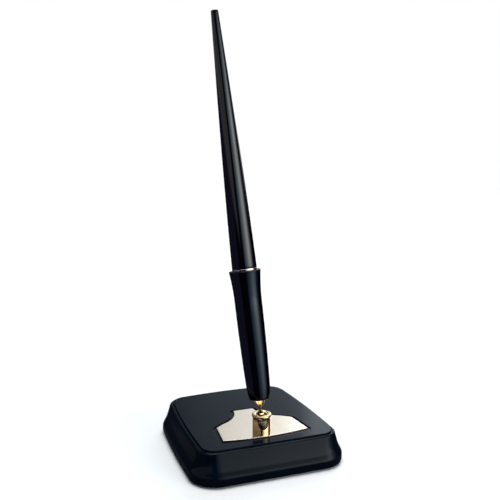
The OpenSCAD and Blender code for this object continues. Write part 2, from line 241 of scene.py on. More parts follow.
def rubber(name, c1, c2):
    n = Net(name)
    grit = n.noise(1700, 5, 0.7)
    dust = n.noise(260, 4, 0.65)
    col = n.mix(n.remap(dust, 0.45, 0.72, 0, 0.5, True), c1, c2)
    col = n.mix(n.math("MULTIPLY", n.edge(), n.remap(grit, 0.3, 0.7, 0, 0.5)), col,
                (0.07, 0.068, 0.064))
    r = n.remap(grit, 0.3, 0.7, 0.62, 0.85)
    return finish_mat(n, col, r, n.bump(grit, 2e-5), **{"Specular IOR Level": 0.35,
                                                        "Sheen Weight": 0.08})


def iron(name):
    n = Net(name)
    v = n.node("ShaderNodeTexVoronoi")
    v.inputs["Scale"].default_value = 1400
    n.link(n.tc.outputs["Object"], v.inputs["Vector"])
    cast = n.noise(650, 5, 0.7)
    rust = n.noise(120, 5, 0.7)
    col = n.mix(n.remap(cast, 0.35, 0.65), (0.045, 0.045, 0.047), (0.085, 0.083, 0.08))
    col = n.mix(n.remap(rust, 0.58, 0.74, 0, 0.6, True), col, (0.13, 0.055, 0.025))
    r = n.remap(cast, 0.3, 0.7, 0.5, 0.75)
    h = n.math("ADD", v.outputs["Distance"], cast)
    return finish_mat(n, col, r, n.bump(h, 6e-5), Metallic=0.6)


M["rubber"] = rubber("foot_rubber", (0.010, 0.010, 0.010), (0.035, 0.034, 0.032))
M["grip"] = rubber("grip_rubber", (0.012, 0.012, 0.012), (0.02, 0.02, 0.02))
M["iron"] = iron("cast_iron")


# ------------------------------------------------------------------ mesh code
def vert(bm, x, y, z):
    return bm.verts.new((x * MM, y * MM, z * MM))


def loft(bm, a, b):
    n = len(a)
    for i in range(n):
        bm.faces.new((a[i], a[(i + 1) % n], b[(i + 1) % n], b[i]))


def fill(bm, loops, up=1):
    """Flat face between closed loops, outer first, holes after."""
    edges = []
    for lp in loops:
        for i, v in enumerate(lp):
            w = lp[(i + 1) % len(lp)]
            edges.append(bm.edges.get((v, w)) or bm.edges.new((v, w)))
    bmesh.ops.triangle_fill(bm, edges=edges, use_beauty=True, use_dissolve=False,
                            normal=(0, 0, up))


def circle(bm, x, y, r, z, n=48):
    return [vert(bm, x + r * math.cos(2 * math.pi * i / n), y + r * math.sin(2 * math.pi * i / n), z)
            for i in range(n)]


def rounded(pts, closed=False, steps=5):
    """Profile points (r, z[, radius]) with their corners rounded and held by near loops."""
    out, n = [], len(pts)
    for i, p in enumerate(pts):
        rad = p[2] if len(p) > 2 else 0
        q = Vector(p[:2])
        if rad <= 0 or (not closed and i in (0, n - 1)):
            out.append(q)
            continue
        a, b = Vector(pts[i - 1][:2]) - q, Vector(pts[(i + 1) % n][:2]) - q
        la, lb = a.length, b.length
        a.normalize(); b.normalize()
        ang = a.angle(b)
        t = min(rad / max(math.tan(ang / 2), 1e-3), 0.42 * la, 0.42 * lb)
        if t * 1.5 < la * 0.5:
            out.append(q + a * t * 1.4)
        for k in range(steps + 1):
            u = k / steps
            out.append((q + a * t) * (1 - u) ** 2 + q * 2 * u * (1 - u) + (q + b * t) * u ** 2)
        if t * 1.5 < lb * 0.5:
            out.append(q + b * t * 1.4)
    return out


def turn(bm, pts, closed=False, seg=128, at=(0, 0)):
    """Surface of revolution about z. Points on the axis become poles."""
    rings = []
    for p in pts:
        if p[0] < 1e-6:
            rings.append([vert(bm, at[0], at[1], p[1])])
        else:
            rings.append(circle(bm, at[0], at[1], p[0], p[1], seg))
    pairs = list(zip(rings, rings[1:])) + ([(rings[-1], rings[0])] if closed else [])
    for a, b in pairs:
        if len(a) == 1 and len(b) == 1:
            continue
        if len(a) == 1:
            for i in range(len(b)):
                bm.faces.new((a[0], b[(i + 1) % len(b)], b[i]))
        elif len(b) == 1:
            for i in range(len(a)):
                bm.faces.new((b[0], a[i], a[(i + 1) % len(a)]))
        else:
            loft(bm, a, b)
    return rings


def piece(name, bm, mat, body, nodes=(), matrix=None, sharp=50):
    bmesh.ops.remove_doubles(bm, verts=bm.verts, dist=1e-7)
    bmesh.ops.dissolve_degenerate(bm, edges=bm.edges, dist=1e-8)
    bmesh.ops.recalc_face_normals(bm, faces=bm.faces)
    for f in bm.faces:
        f.smooth = True
    lim = math.radians(sharp)
    for e in bm.edges:
        if len(e.link_faces) == 2 and e.calc_face_angle(0) > lim:
            e.smooth = False
    me = bpy.data.meshes.new(name)
    bm.to_mesh(me)
    bm.free()
    ob = bpy.data.objects.new(name, me)
    scene.collection.objects.link(ob)
    me.materials.append(mat)
    if matrix is not None:
        me.transform(matrix)
    if nodes:
        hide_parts(*nodes)
    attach(ob, body)
    return ob


def spun(name, pts, mat, body, nodes, matrix, closed=False, seg=128, sharp=50):
    bm = bmesh.new()
    turn(bm, pts, closed, seg)
    return piece(name, bm, mat, body, nodes, matrix, sharp)


def carve(ob, bm, matrix=None):
    """Cuts a bmesh solid out of the piece for good."""
    if True:
        if matrix is not None:
            bm.transform(matrix)
        bmesh.ops.recalc_face_normals(bm, faces=bm.faces)
        me = bpy.data.meshes.new("tool")
        bm.to_mesh(me)
        bm.free()
        tool = bpy.data.objects.new("tool", me)
        scene.collection.objects.link(tool)
        md = ob.modifiers.new("cut", "BOOLEAN")
        md.operation, md.solver, md.object = "DIFFERENCE", "EXACT", tool
        dg = bpy.context.evaluated_depsgraph_get()
        new = bpy.data.meshes.new_from_object(ob.evaluated_get(dg))
        ob.modifiers.remove(md)
        old = ob.data
        ob.data = new
        bpy.data.objects.remove(tool)
        bpy.data.meshes.remove(me)
        bpy.data.meshes.remove(old)


# ------------------------------------------------------------------ base outline
N_SIDE, N_TURN = 36, 22


def outline(out):
    c = [Vector(v) for v in ((-FRONT - out, -DEPTH - out), (FRONT + out, -DEPTH - out),
                             (BACK + out, DEPTH + out), (-BACK - out, DEPTH + out))]
    r = 6.2 + 1.28 * out
    away = [Vector(v) for v in ((0, -1), (1, 0), (0, 1), (-1, 0))]

    def at(i, t):
        return c[i] * (1 - t) + c[(i + 1) % 4] * t + 4 * t * (1 - t) * SAG[i] * away[i]

    def slope(i, t):
        return c[(i + 1) % 4] - c[i] + 4 * (1 - 2 * t) * SAG[i] * away[i]

    pts = []
    for i in range(4):
        j = (i + 1) % 4
        t0 = r / (c[j] - c[i]).length
        t1 = r / (c[(j + 1) % 4] - c[j]).length
        p, q = at(i, 1 - t0), at(j, t1)
        d, e = slope(i, 1 - t0), slope(j, t1)
        m = p + d * ((q - p).cross(e) / d.cross(e))
        pts += [at(i, t0 + (1 - 2 * t0) * k / N_SIDE) for k in range(N_SIDE + 1)]
        b, g = p + (m - p) * 0.55, q + (m - q) * 0.55
        for k in range(1, N_TURN):
            t = k / N_TURN
            pts.append((1 - t) ** 3 * p + 3 * (1 - t) ** 2 * t * b + 3 * (1 - t) * t * t * g
                       + t ** 3 * q)
    return [(v.x, v.y + SHIFT) for v in pts]


def ring_at(bm, out, z):
    return [vert(bm, x, y, z) for x, y in outline(out)]


def spline(pts, steps=4):
    """Smooth curve through profile points."""
    out = []
    P = [Vector(p) for p in pts]
    for i in range(len(P) - 1):
        p0, p1, p2, p3 = P[max(i - 1, 0)], P[i], P[i + 1], P[min(i + 2, len(P) - 1)]
        d1 = (p2 - p0) * 0.5 * min(1, (p2 - p1).length * 2 / max((p2 - p0).length, 1e-6))
        d2 = (p3 - p1) * 0.5 * min(1, (p2 - p1).length * 2 / max((p3 - p1).length, 1e-6))
        for k in range(steps):
            t = k / steps
            h = (2 * t ** 3 - 3 * t * t + 1, t ** 3 - 2 * t * t + t, -2 * t ** 3 + 3 * t * t,
                 t ** 3 - t * t)
            out.append(p1 * h[0] + d1 * h[1] + p2 * h[2] + d2 * h[3])
    out.append(P[-1])
    return out


# ------------------------------------------------------------------ plate outline
def plate_points():
    pts = [Vector((23.1 * t, -28.7 - 2.3 * (1 - t * t))) for t in
           [-1 + k / 16 for k in range(33)]]
    arc = [Vector((23.4 + 17.8 * math.cos(math.radians(a)), 7.6 + 17.8 * math.sin(math.radians(a))))
           for a in [247 - 63 * k / 30 for k in range(31)]]
    pts += [Vector((21.3, -12.4))] + arc
    pts += [Vector((-p.x, p.y)) for p in reversed(arc)] + [Vector((-21.3, -12.4))]
    return pts


def normals(pts):
    n = len(pts)
    res = []
    for i in range(n):
        a, b = pts[i] - pts[i - 1], pts[(i + 1) % n] - pts[i]
        a.normalize(); b.normalize()
        res.append((Vector((a.y, -a.x)), Vector((b.y, -b.x))))
    return res


def inset(pts, d):
    return [p - (n1 + n2) * (d / (1 + n1.dot(n2))) for p, (n1, n2) in zip(pts, normals(pts))]


CORE = inset(plate_points(), 0.3)
CORE_N = normals(CORE)


def plate_ring(d):
    """The plate's outline at distance d outside its core, its corners round."""
    res = []
    for p, (n1, n2) in zip(CORE, CORE_N):
        bend = math.atan2(n1.cross(n2), n1.dot(n2))
        if bend > math.radians(6):
            k = max(3, int(math.degrees(bend) / 8))
            a0 = math.atan2(n1.y, n1.x)
            res += [p + Vector((math.cos(a0 + bend * i / k), math.sin(a0 + bend * i / k))) * d
                    for i in range(k + 1)]
        else:
            res.append(p + (n1 + n2) * (d / (1 + n1.dot(n2))))
    return [(v.x, v.y + SHIFT) for v in res]


def plate_loop(bm, d, z):
    return [vert(bm, x, y, z) for x, y in plate_ring(d)]


# ------------------------------------------------------------------ base shell
bm = bmesh.new()
edge_top = rounded([(-3, TOP), (0, TOP, 0.32), (0.02, TOP - 1.02, 0.12), (0.45, TOP - 1.1, 0.12),
                    (0.6, TOP - 0.86)], steps=6)
skirt = spline([(0.6, TOP - 0.86), (0.9, TOP - 0.83), (1.3, TOP - 0.9), (1.75, TOP - 1.15),
                (2.0, TOP - 1.6), (2.3, TOP - 2.6), (2.95, 12.6), (3.75, 10.1), (4.65, 8.0),
                (5.35, 6.7), (5.93, 5.6), (6.14, 4.9), (6.2, 4.3), (6.2, 3.2), (6.2, 2.2),
                (6.08, 1.7), (5.85, 1.2), (5.5, 0.9), (5.2, 0.8)], 4)
prof = [tuple(p) for p in edge_top] + [tuple(p) for p in skirt[1:]]
prof += [tuple(p) for p in rounded([(5.2, 0.8), (3.9, 0.8, 0.15), (3.9, 2.4, 0.1), (1.2, 2.4, 0.2),
                                    (1.2, 8.0, 0.2), (-1, 8.0, 0.2), (-1, ROOF)], steps=3)[1:]]
rings = [ring_at(bm, o, z) for o, z in prof]
for a, b in zip(rings, rings[1:]):
    loft(bm, a, b)
wall = rounded([(2.8, TOP), (2.3, TOP, 0.10), (2.3, RECESS, 0.08), (1.9, RECESS)], steps=4)
loops = [plate_loop(bm, d, z) for d, z in [tuple(p) for p in wall]]
for a, b in zip(loops, loops[1:]):
    loft(bm, a, b)
fill(bm, [rings[0], loops[0]], 1)
bore_top = circle(bm, 0, POST_Y, 3.1, RECESS, 64)
bore_low = circle(bm, 0, POST_Y, 3.1, ROOF, 64)
fill(bm, [loops[-1], bore_top], 1)
loft(bm, bore_top, bore_low)
fill(bm, [rings[-1], bore_low], -1)
for x, y in SCREWS:
    turn(bm, [(1.12, 2.4), (3, 2.4), (3, ROOF + 0.3), (1.12, ROOF + 0.3)], True, 48, (x, y))
for x, y in TIES:
    turn(bm, [(1.12, 11.1), (3.2, 11.1), (3.2, ROOF + 0.3), (1.12, ROOF + 0.3)], True, 48, (x, y))
piece("base_body", bm, M["base"], "base", ["base_shell"])

# name plate
bm = bmesh.new()
prof = rounded([(-0.4, PLATE_TOP), (0.3, PLATE_TOP, 0.14), (0.3, PLATE_Z, 0.08), (-0.4, PLATE_Z)],
               steps=5)
loops = [plate_loop(bm, d, z) for d, z in [tuple(p) for p in prof]]
for a, b in zip(loops, loops[1:]):
    loft(bm, a, b)
h1 = circle(bm, 0, POST_Y, 3.06, PLATE_TOP, 64)
h2 = circle(bm, 0, POST_Y, 3.06, PLATE_Z, 64)
loft(bm, h1, h2)
fill(bm, [loops[0], h1], 1)
fill(bm, [loops[-1], h2], -1)
piece("name_plate_blank", bm, M["plate"], "base", ["name_plate"])

# bottom cover, with seats for the feet and countersunk screw holes
bm = bmesh.new()
prof = rounded([(3.3, 0.8), (3.75, 0.8, 0.2), (3.75, 2.3, 0.2), (3.3, 2.3)], steps=4)
loops = [ring_at(bm, o, z) for o, z in [tuple(p) for p in prof]]
for a, b in zip(loops, loops[1:]):
    loft(bm, a, b)
low, high = [], []
for x, y in FEET:
    a, b = circle(bm, x, y, 5.0, 0.8, 64), circle(bm, x, y, 5.0, 1.2, 64)
    loft(bm, a, b)
    fill(bm, [b], -1)
    low.append(a)
for x, y in SCREWS:
    rr = [circle(bm, x, y, r, z, 48) for r, z in ((2.6, 0.8), (2.5, 0.9), (2.5, 1.7), (1.35, 1.7),
                                                  (1.35, 2.3))]
    for a, b in zip(rr, rr[1:]):
        loft(bm, a, b)
    low.append(rr[0])
    high.append(rr[-1])
fill(bm, [loops[0]] + low, -1)
fill(bm, [loops[-1]] + high, 1)
piece("base_cover", bm, M["cover"], "base", ["bottom_cover"])

# rubber feet, each with a shallow moulded dish inside its rim
bm = bmesh.new()
for x, y in FEET:
    turn(bm, rounded([(0, 0.25), (2.9, 0.25, 0.2), (3.2, 0, 0.15), (4.45, 0, 0.25),
                      (4.8, 0.45, 0.25), (4.8, 1.2, 0.05), (0, 1.2)], steps=4), False, 72, (x, y))
piece("feet", bm, M["rubber"], "base", ["rubber_feet"])


def pan_screw(name, mat, places, z0, head_r, head_h, r, length, nodes):
    bm = bmesh.new()
    for x, y in places:
        thread = []
        z = head_h + 0.3
        while z < length - 0.7:
            thread += [(r, z), (r * 0.82, z + 0.2), (r, z + 0.4)]
            z += 0.42
        turn(bm, [tuple(p) for p in rounded(
            [(0, 0), (head_r, 0, head_h * 0.45), (head_r, head_h, 0.1), (r, head_h, 0)], steps=5)]
            + thread + [(r * 0.5, length - 0.15), (0, length)], False, 48, (x, y))
    for v in bm.verts:
        v.co.z += z0 * MM
    ob = piece(name, bm, mat, "base", nodes)
    for x, y in places:
        for a in (0.0, math.pi / 2):
            c = bmesh.new()
            bmesh.ops.create_cube(c, size=1.0)
            c.transform(Matrix.Translation((x * MM, y * MM, z0 * MM))
                        @ Matrix.Rotation(a + 0.3, 4, "Z")
                        @ Matrix.Diagonal((head_r * 1.24 * MM, 0.55 * MM, head_h * 1.1 * MM, 1)))
            carve(ob, c)
    return ob


pan_screw("cover_screw_set", M["steel"], SCREWS, 0.85, 2.3, 0.85, 1.1, 9.0, ["cover_screws"])
pan_screw("ballast_screw_set", M["steel"], TIES, 3.7, 2.4, 1.5, 1.1, 10.6, ["ballast_screws"])

# ------------------------------------------------------------------ swivel
spun("post", rounded([(0, 8.6), (2.7, 8.6, 0.1), (3, 8.9, 0.1), (3, PLATE_TOP), (4.65, PLATE_TOP, 0.05),
                      (4.75, PLATE_TOP + 0.12, 0.1), (4.75, POST_TOP - 3.2, 0.02),
                      (4.08, POST_TOP - 3.2, 0), (4.08, POST_TOP - 1.95, 0.08),
                      (3.6, POST_TOP - 1.95, 0.05), (3.6, BALL_Z - 5.7, 0.1), (0, BALL_Z - 5.7)]),
     M["gold"], "base", ["swivel_post"], POST, seg=160)

seat_arc = []
z_hi, z_lo = 26.487, POST_TOP - 1.9
for k in range(13):
    z = z_hi + (z_lo - z_hi) * k / 12
    seat_arc.append((math.sqrt(3.55 ** 2 - (z - BALL_Z) ** 2), z))
crown = [tuple(p) for p in spline([(4.75, POST_TOP - 3.13), (4.755, POST_TOP - 2.5),
                                   (4.78, POST_TOP - 2.0), (4.86, POST_TOP - 1.65),
                                   (4.98, POST_TOP - 1.3), (5.07, POST_TOP - 0.95),
                                   (5.05, POST_TOP - 0.55), (4.87, POST_TOP - 0.2),
                                   (4.6, POST_TOP - 0.04), (4.45, POST_TOP)], 4)]
collar = spun("collar", [(4.12, POST_TOP - 3.1), (4.16, POST_TOP - 3.15), (4.73, POST_TOP - 3.15)]
              + crown + [(4.3, POST_TOP), (3.6, POST_TOP), (3.45, POST_TOP), (3.38, POST_TOP - 0.02),
                         (3.1, 26.5)] + seat_arc + [(4.12, POST_TOP - 1.9)],
              M["gold"], "base", ["retaining_collar"], POST, closed=True, seg=160)
for a in (25, 205):
    c = bmesh.new()
    turn(c, [(0, POST_TOP - 0.9), (0.42, POST_TOP - 0.9), (0.42, POST_TOP + 1), (0, POST_TOP + 1)],
         False, 32, (3.95 * math.cos(math.radians(a)), 3.95 * math.sin(math.radians(a))))
    carve(collar, c, POST)

spun("washer", rounded([(3.1, ROOF - 1.05, 0.1), (7, ROOF - 1.05, 0.2), (7, ROOF - 0.02, 0.2),
                        (3.1, ROOF - 0.02, 0.1)], True), M["steel"], "base", ["post_washer"],
     POST, closed=True, seg=96)
spun("seat", rounded([(0, BALL_Z - 4), (3.55, BALL_Z - 4, 0.2), (3.55, BALL_Z - 0.3, 0.03)])
     + [Vector((3.55 * math.sin(t), BALL_Z - 3.55 * math.cos(t)))
        for t in [math.acos(0.3 / 3.55) * (1 - k / 14) for k in range(14)]]
     + [Vector((0, BALL_Z - 3.55))],
     M["nylon"], "seat", ["ball_seat"], POST, seg=96)
bm = bmesh.new()
z0 = BALL_Z - 5.69
turn(bm, rounded([(1.6, z0 + 0.37, 0.05), (3.4, z0, 0.05), (3.4, z0 + 0.45, 0.05),
                  (1.6, z0 + 0.82, 0.05)], True), True, 96)
turn(bm, rounded([(1.6, z0 + 0.84, 0.05), (3.4, z0 + 1.21, 0.05), (3.4, z0 + 1.66, 0.05),
                  (1.6, z0 + 1.29, 0.05)], True), True, 96)
piece("disc_springs", bm, M["steel"], "base", ["tension_spring"], POST)


def hex_nut(name, flats, bore, za, zb, mat, body, nodes, matrix):
    """Hexagon nut with chamfered corners: a turned blank whose sides follow the flats."""
    bm = bmesh.new()
    seg = 96
    rc = flats / math.sqrt(3)

    def hexr(a, lim):
        a = (a + math.pi / 6) % (math.pi / 3) - math.pi / 6
        return min(flats / 2 / math.cos(a), lim)

    rows = [(za, "in"), (za, flats / 2 * 0.96), (za + 0.001, flats / 2 * 0.985),
            (za + (rc - flats / 2) * 0.5, rc), (zb - (rc - flats / 2) * 0.5, rc),
            (zb - 0.001, flats / 2 * 0.985), (zb, flats / 2 * 0.96), (zb, "in")]
    rings = []
    for z, lim in rows:
        r = []
        for i in range(seg):
            a = 2 * math.pi * i / seg
            q = bore if lim == "in" else hexr(a, lim)
            r.append(vert(bm, q * math.cos(a), q * math.sin(a), z))
        rings.append(r)
    for a, b in zip(rings, rings[1:] + rings[:1]):
        loft(bm, a, b)
    return piece(name, bm, mat, body, nodes, matrix, sharp=25)


hex_nut("under_nut", 10, 3.02, 9.9, ROOF - 1.08, M["gold"], "base", ["post_nut"], POST)

# ball and horn-shaped neck
END = SOCK0 - 0.03
def horn(s):
    return 1.05 + 2.51 * max(0.0, (s - 3.2) / (END - 3.2)) ** 1.75


t_join = math.asin(1.05 / 3.5)
ball = [(3.5 * math.sin(t), -3.5 * math.cos(t)) for t in
        [(math.pi - t_join) * k / 48 for k in range(49)]]
ball[0] = (0, -3.5)
neck = [(1.055, 3.5 * math.cos(t_join) + 0.05)] + [(horn(s), s) for s in
        [3.55 + (END - 0.2 - 3.55) * k / 28 for k in range(29)]]
spun("ball_and_stem", ball + neck + [(horn(END) - 0.03, END - 0.08), (horn(END) - 0.10, END - 0.02), (horn(END) - 0.2, END),
                                     (1.9, END), (1.9, SOCK0 + 5.8), (1.7, SOCK0 + 6),
                                     (0, SOCK0 + 6)],
     M["gold"], "stem", ["ball_stem"], AXIS, seg=128)
spun("friction_disc", rounded([(1.95, SOCK0 + 2.55, 0.05), (3.9, SOCK0 + 2.55, 0.1),
                               (3.9, SOCK0 + 3.05, 0.1), (1.95, SOCK0 + 3.05, 0.05)], True),
     M["nylon"], "stem", ["friction_washer"], AXIS, closed=True, seg=96)
hex_nut("stud_nut", 6.4, 1.93, SOCK0 + 3.1, SOCK0 + 5.4, M["gold"], "stem", ["stem_nut"],
        AXIS)


# ------------------------------------------------------------------ socket
def sock_r(s):
    if s > 62:
        return 7.05 + 1.15 * ((s - 62) / (LIP - 62)) ** 1.7
    r = 7.05 - 0.78 * ((62 - s) / 43.6) ** 2
    return r - (0.8 * ((18.4 - s) / 8.7) ** 2.2 if s < 18.4 else 0)


out = [(sock_r(s), s) for s in [SOCK0 + 0.35 + (LIP - 0.55 - SOCK0 - 0.35) * (k / 90) for k in range(91)]]
lipc = [(8.18, LIP - 0.42), (8.2, LIP - 0.28), (8.17, LIP - 0.14), (8.1, LIP - 0.04), (7.98, LIP),
        (7.8, LIP), (7.0, LIP), (6.93, LIP - 0.02), (6.9, LIP - 0.08), (6.9, LIP - 0.3)]
foot = [(2.0, SOCK0), (2.2, SOCK0), (sock_r(SOCK0) - 0.55, SOCK0), (sock_r(SOCK0) - 0.3, SOCK0 + 0.02),
        (sock_r(SOCK0) - 0.12, SOCK0 + 0.1)]
inner = [(6.9, LIP - 2.3), (5.93, LIP - 2.3), (5.33, 24), (5.1, SOCK0 + 7.4), (4.3, SOCK0 + 6.5),
         (4.3, SOCK0 + 2.5), (2.0, SOCK0 + 2.5)]
spun("socket_shell", foot + out + lipc + inner, M["socket"], "socket", ["pen_socket"],
     AXIS, closed=True, seg=160)
spun("socket_sleeve", [(0, SOCK0 + 7.6), (5.06, SOCK0 + 7.6), (5.29, 24), (5.87, LIP - 3.2),
                       (5.87, LIP - 2.26), (6.86, LIP - 2.26), (6.86, LIP - 2.05),
                       (5.4, LIP - 2.05), (5.3, LIP - 2.1), (5.27, LIP - 2.2), (4.7, 24),
                       (4.3, SOCK0 + 8.6), (0, SOCK0 + 8.6)],
     M["liner"], "socket", ["socket_liner"], AXIS, seg=96)
spun("grip_lip", rounded([(5.14, LIP - 1.9, 0.05), (5.34, LIP - 2.03, 0.05), (6.84, LIP - 2.03, 0.05),
                          (6.84, LIP - 1.07, 0.05), (5.34, LIP - 1.07, 0.05), (5.14, LIP - 1.2, 0.05)],
                         True, 3),
     M["grip"], "socket", ["grip_ring"], AXIS, closed=True, seg=96)
spun("mouth_insert", rounded([(5.3, LIP - 1.03, 0.05), (6.87, LIP - 1.03, 0.05),
                              (6.87, LIP - 0.02, 0.12), (5.35, LIP - 0.05, 0.2)], True, 5),
     M["socket"], "socket", ["mouth_ring"], AXIS, closed=True, seg=160)


# ------------------------------------------------------------------ pen
def bar_r(s):
    return 6.38 - (6.38 - 1.93) * max(0.0, (s - BAR0) / (TAIL - BAR0)) ** 1.3


outer = [(bar_r(s), s) for s in [BAR0 + 0.15 + (TAIL - 0.4 - BAR0 - 0.15) * k / 110 for k in range(111)]]
tip = [(1.93, TAIL - 0.28), (1.90, TAIL - 0.14), (1.82, TAIL - 0.05), (1.68, TAIL), (1.5, TAIL),
       (0.8, TAIL), (0, TAIL)]
a = BAR0
inner = [(0, a + 114), (1.2, a + 112), (2.2, a + 82), (4.12, a + 52), (4.12, a + 10.6),
         (4.66, a + 10), (4.66, a + 0.2), (4.8, a), (5.2, a), (bar_r(a) - 0.2, a),
         (bar_r(a) - 0.08, a + 0.03), (bar_r(a) - 0.02, a + 0.09)]
spun("barrel", inner + outer + tip, M["pen"], "barrel", ["pen_barrel"], AXIS, seg=160)
spun("barrel_ring", rounded([(4.66, RING0, 0.04), (6.45, RING0, 0.16), (6.45, RING1, 0.16),
                             (4.66, RING1, 0.04)], True, 6),
     M["ring"], "ring", ["trim_ring"], AXIS, closed=True, seg=160)

e = SECT
bodyline = [tuple(p) for p in spline([(4.35, e + 0.5), (4.45, e + 1.0), (4.47, e + 1.6),
                                      (4.32, e + 2.4), (4.2, e + 3.2), (4.22, e + 6),
                                      (4.35, e + 12), (4.52, e + 19), (4.75, e + 26),
                                      (5.0, e + 32), (5.07, e + 34), (5.08, e + 36),
                                      (5.08, RING0 - 0.15)], 5)]
thread = []
z = RING1 + 0.5
while z < RING0 + 8.8:
    thread += [(4.6, z), (4.42, z + 0.2), (4.42, z + 0.3), (4.6, z + 0.5)]
    z += 0.8
spun("section", [(2.85, e + 0.06), (2.95, e), (3.8, e), (4.1, e + 0.15), (4.25, e + 0.32)] + bodyline
     + [(5.0, RING0 - 0.03), (4.6, RING0 - 0.03), (4.6, RING1 + 0.3)] + thread
     + [(4.5, RING0 + 9.4), (4.4, RING0 + 9.5), (3.85, RING0 + 9.5), (3.85, e + 25), (1.1, e + 25),
        (1.1, e + 29), (0.6, e + 29), (0.6, e + 23), (2.85, e + 23)],
     M["pen"], "pen", ["grip_section"], AXIS, closed=True, seg=128, sharp=35)

c0 = SECT + 25.4
spun("cartridge",
     [(0, c0 + 4.6), (1.16, c0 + 4.6), (1.16, c0), (2.6, c0), (3.4, c0 + 1.4), (3.62, c0 + 1.9),
      (3.7, c0 + 2.4), (3.7, c0 + 25), (3.7, c0 + 49.8), (3.6, c0 + 50.7), (3.2, c0 + 51.4),
      (2.9, c0 + 51.5), (0, c0 + 51.5)],
     M["ink"], "cartridge", ["ink_cartridge"], AXIS, seg=96)

# nib: a curved, tapered leaf with a slit and a breather hole
bm = bmesh.new()
def cone_r(s):
    if s < e - 0.5:
        return 0.42 + (2.62 - 0.42) * (s - NIB) / (e - 0.5 - NIB)
    return 2.62 + 0.18 * min(1.0, (s - e + 0.5) / 1.5)


def half_w(s):
    if s < NIB + 0.4:
        return 0.3
    return min(2.45, 0.3 + (2.45 - 0.3) * math.sin(min(1.0, (s - NIB - 0.4) / (e - 5 - NIB - 0.4))
                                                   * math.pi / 2) ** 1.15)


rows = []
for k in range(61):
    s = NIB + (e + 12 - NIB) * k / 60
    R = cone_r(s)
    top = math.asin(min(0.86, half_w(s) / R))
    top = max(top, 0.5) if s < NIB + 0.8 else top
    o_, i_ = [], []
    for j in range(21):
        t = -top + 2 * top * j / 20
        for rad, row in ((R, o_), (max(R - 0.25, 0.17), i_)):
            row.append(vert(bm, rad * math.sin(t), rad * math.cos(t), s))
    rows.append((o_, i_))
for (o1, i1), (o2, i2) in zip(rows, rows[1:]):
    for j in range(20):
        bm.faces.new((o1[j], o1[j + 1], o2[j + 1], o2[j]))
        bm.faces.new((i1[j + 1], i1[j], i2[j], i2[j + 1]))
    bm.faces.new((o1[0], o2[0], i2[0], i1[0]))
    bm.faces.new((o2[-1], o1[-1], i1[-1], i2[-1]))
for o_, i_ in (rows[0], rows[-1]):
    for j in range(20):
        bm.faces.new((o_[j], i_[j], i_[j + 1], o_[j + 1]))
nib = piece("nib_leaf", bm, M["nib"], "pen", ["nib"], AXIS, sharp=35)
c = bmesh.new()
turn(c, [(0, 0), (0.5, 0), (0.5, 5), (0, 5)], False, 40)
c.transform(Matrix.Translation((0, 0, (e - 7.5) * MM)) @ Matrix.Rotation(-math.pi / 2, 4, "X"))
carve(nib, c, AXIS)
c = bmesh.new()
bmesh.ops.create_cube(c, size=1.0)
c.transform(Matrix.Translation((0, 2.5 * MM, (NIB - 2 + e - 7.5) / 2 * MM))
            @ Matrix.Diagonal((0.12 * MM, 5 * MM, (e - 7.5 - NIB + 2) * MM, 1)))
carve(nib, c, AXIS)

# ------------------------------------------------------------------ kept CAD nodes
for node, key in (("plate_adhesive", "glue"), ("ballast_weight", "iron"), ("feed", "feed")):
    ob = frame["nodes"][node]
    ob = ob if isinstance(ob, bpy.types.Object) else bpy.data.objects[ob if isinstance(ob, str) else node]
    if ob.material_slots:
        for s_ in ob.material_slots:
            s_.material = M[key]
    else:
        ob.data.materials.append(M[key])

# ------------------------------------------------------------------ floor
bm = bmesh.new()
rr, seg = [0.0, 0.08, 0.16, 0.4, 0.9, 2.0], 96
prev = None
for r in rr:
    if r == 0:
        prev = [bm.verts.new((0, 0, 0))]
        continue
    cur = [bm.verts.new((r * math.cos(2 * math.pi * i / seg), r * math.sin(2 * math.pi * i / seg), 0))
           for i in range(seg)]
    for i in range(seg):
        if len(prev) == 1:
            bm.faces.new((prev[0], cur[i], cur[(i + 1) % seg]))
        else:
            bm.faces.new((prev[i], cur[i], cur[(i + 1) % seg], prev[(i + 1) % seg]))
    prev = cur
me = bpy.data.meshes.new("floor")
bm.to_mesh(me)
bm.free()
floor = bpy.data.objects.new("floor", me)
scene.collection.objects.link(floor)
fm = bpy.data.materials.new("floor_paper_painted_shade")
fm.use_nodes = True
ft = fm.node_tree
fb = ft.nodes["Principled BSDF"]
fb.inputs["Roughness"].default_value = 0.9
fb.inputs["Specular IOR Level"].default_value = 0.0
lp = ft.nodes.new("ShaderNodeLightPath")
mx = ft.nodes.new("ShaderNodeMix")
mx.data_type = "RGBA"
# Camera rays see the floor white. Every other ray sees it dark grey, a painted shade that stands in for
# the shadow round the object in its reflections and bounced light.
mx.inputs[6].default_value = (0.10, 0.105, 0.115, 1)
mx.inputs[7].default_value = (0.93, 0.93, 0.93, 1)
ft.links.new(lp.outputs["Is Camera Ray"], mx.inputs[0])
ft.links.new(mx.outputs[2], fb.inputs["Base Color"])
